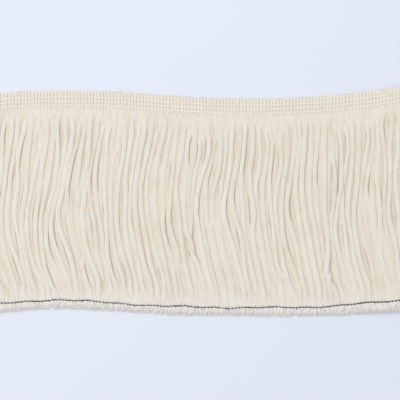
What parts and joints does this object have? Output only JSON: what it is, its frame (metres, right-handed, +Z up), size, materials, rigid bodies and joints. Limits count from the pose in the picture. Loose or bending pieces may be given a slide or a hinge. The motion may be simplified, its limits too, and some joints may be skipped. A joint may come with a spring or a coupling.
{
  "type": "yarn fringe trim",
  "caption": "Cut length of cream yarn fringe trim: a narrow chain-stitched heading, loose hanging yarns, and a dark thread sewn across them just above their cut ends.",
  "frame": {"origin": "on the surface the trim lies on, under the middle of its overall length and depth", "axes": "+X along the heading, to the right in the picture; +Y from the cut yarn ends to the heading; +Z up, out of the trim's face"},
  "size_m": [0.2138, 0.109, 0.0097],
  "materials": {
    "heading_yarn": "matt, softly fuzzy warp-knitted cream yarn",
    "fringe_yarn": "matt, softly fuzzy plied cream yarn",
    "thread": "dull dark sewing thread"
  },
  "bodies": {
    "root": {"heading": "heading_yarn", "fringe": "fringe_yarn", "holding_thread": "thread"}
  },
  "joints": []
}
